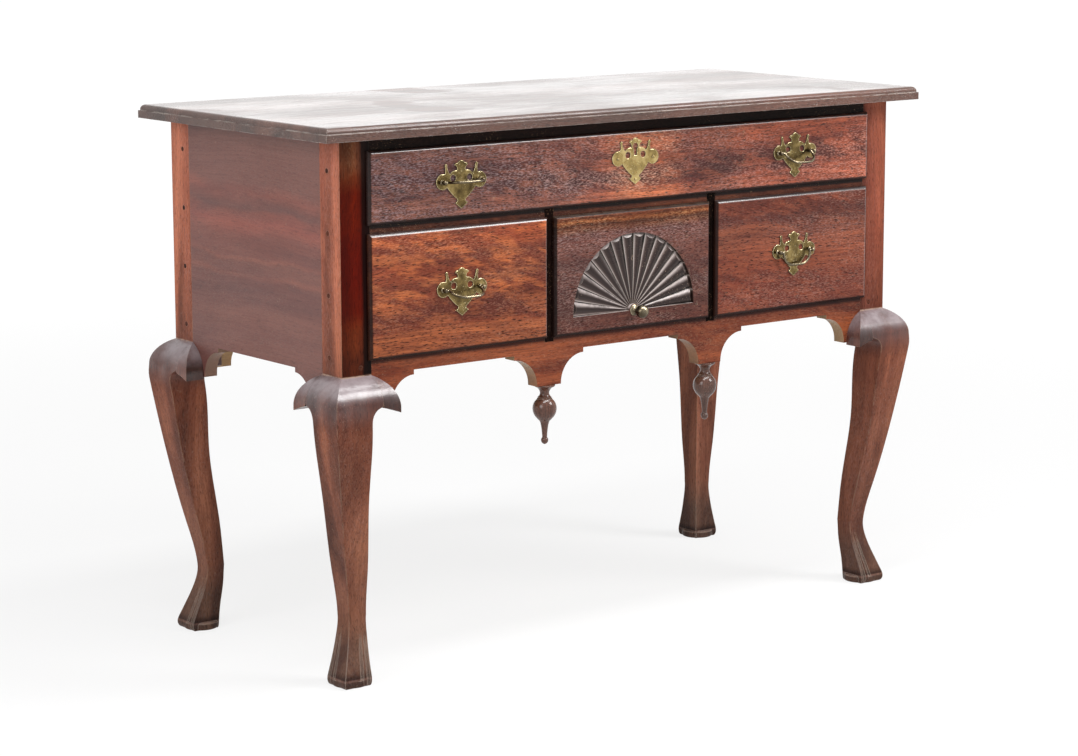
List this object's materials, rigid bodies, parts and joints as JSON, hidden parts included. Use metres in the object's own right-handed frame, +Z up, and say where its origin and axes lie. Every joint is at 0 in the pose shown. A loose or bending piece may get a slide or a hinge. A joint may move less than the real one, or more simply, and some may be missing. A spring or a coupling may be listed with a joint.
{
  "type": "lowboy",
  "caption": "Lowboy dressing table on cabriole legs: a long drawer over short drawers, the middle one with a carved fan, shaped apron with turned drops, pierced brass pulls.",
  "frame": {"origin": "on the floor, under the middle of the case between the four legs", "axes": "+X to the right as one faces the front, the front faces -Y, +Z up"},
  "size_m": [1.069, 0.4906, 0.762],
  "materials": {
    "leg_wood": "waxed mahogany, worn at the feet",
    "top_wood": "polished mahogany",
    "side_wood": "polished mahogany",
    "front_wood": "polished mahogany",
    "figured_wood": "polished figured mahogany",
    "turned_wood": "turned and waxed",
    "peg_wood": "end grain",
    "secondary_wood": "raw pine and poplar, darkened",
    "aged_brass": "aged, rubbed"
  },
  "bodies": {
    "case": {"back_board": "secondary_wood", "centre_bearers": "secondary_wood", "centre_runner_left": "secondary_wood", "centre_runner_right": "secondary_wood", "drawer_guides": "secondary_wood", "front_apron": "front_wood", "glue_blocks": "secondary_wood", "joint_pegs": "peg_wood", "knee_block_back_left": "leg_wood", "knee_block_back_right": "leg_wood", "knee_blocks_front_left": "leg_wood", "knee_blocks_front_right": "leg_wood", "leg_back_left": "leg_wood", "leg_back_right": "leg_wood", "leg_front_left": "leg_wood", "leg_front_right": "leg_wood", "lower_runner_left": "secondary_wood", "lower_runner_right": "secondary_wood", "middle_rail": "front_wood", "pendant_left": "turned_wood", "pendant_right": "turned_wood", "side_board_left": "side_wood", "side_board_right": "side_wood", "stile_left": "front_wood", "stile_right": "front_wood", "top_board": "top_wood", "top_kickers": "secondary_wood", "top_rail": "front_wood", "upper_runner_left": "secondary_wood", "upper_runner_right": "secondary_wood"},
    "top_drawer": {"escutcheon": "aged_brass", "escutcheon_nails": "aged_brass", "top_drawer_back": "secondary_wood", "top_drawer_bottom": "secondary_wood", "top_drawer_front": "figured_wood", "top_drawer_sides": "secondary_wood", "top_pull_plates": "aged_brass", "top_pull_posts": "aged_brass"},
    "left_drawer": {"left_drawer_back": "secondary_wood", "left_drawer_bottom": "secondary_wood", "left_drawer_front": "figured_wood", "left_drawer_sides": "secondary_wood", "left_pull_plates": "aged_brass", "left_pull_posts": "aged_brass"},
    "centre_drawer": {"centre_drawer_back": "secondary_wood", "centre_drawer_bottom": "secondary_wood", "centre_drawer_front": "figured_wood", "centre_drawer_sides": "secondary_wood", "fan_knob": "aged_brass"},
    "right_drawer": {"right_drawer_back": "secondary_wood", "right_drawer_bottom": "secondary_wood", "right_drawer_front": "figured_wood", "right_drawer_sides": "secondary_wood", "right_pull_plates": "aged_brass", "right_pull_posts": "aged_brass"},
    "bail_left": {"bail_left": "aged_brass"},
    "bail_right": {"bail_right": "aged_brass"},
    "bail_top_left": {"bail_top_left": "aged_brass"},
    "bail_top_right": {"bail_top_right": "aged_brass"}
  },
  "joints": [
    {"name": "top_drawer_slide", "type": "slide", "parent": "case", "child": "top_drawer", "axis": [0, -1, 0], "range_m": [0, 0.28]},
    {"name": "left_drawer_slide", "type": "slide", "parent": "case", "child": "left_drawer", "axis": [0, -1, 0], "range_m": [0, 0.28]},
    {"name": "centre_drawer_slide", "type": "slide", "parent": "case", "child": "centre_drawer", "axis": [0, -1, 0], "range_m": [0, 0.28]},
    {"name": "right_drawer_slide", "type": "slide", "parent": "case", "child": "right_drawer", "axis": [0, -1, 0], "range_m": [0, 0.28]},
    {"name": "bail_left_swing", "type": "hinge", "parent": "left_drawer", "child": "bail_left", "pos_m": [-0.30363, -0.2275, 0.53085], "axis": [-1, 0, 0], "range_deg": [-74, 106]},
    {"name": "bail_right_swing", "type": "hinge", "parent": "right_drawer", "child": "bail_right", "pos_m": [0.30363, -0.2275, 0.53085], "axis": [-1, 0, 0], "range_deg": [-12, 168]},
    {"name": "bail_top_left_swing", "type": "hinge", "parent": "top_drawer", "child": "bail_top_left", "pos_m": [-0.30363, -0.2275, 0.67685], "axis": [-1, 0, 0], "range_deg": [-105, 75]},
    {"name": "bail_top_right_swing", "type": "hinge", "parent": "top_drawer", "child": "bail_top_right", "pos_m": [0.30363, -0.2275, 0.67685], "axis": [-1, 0, 0], "range_deg": [-57, 123]}
  ]
}
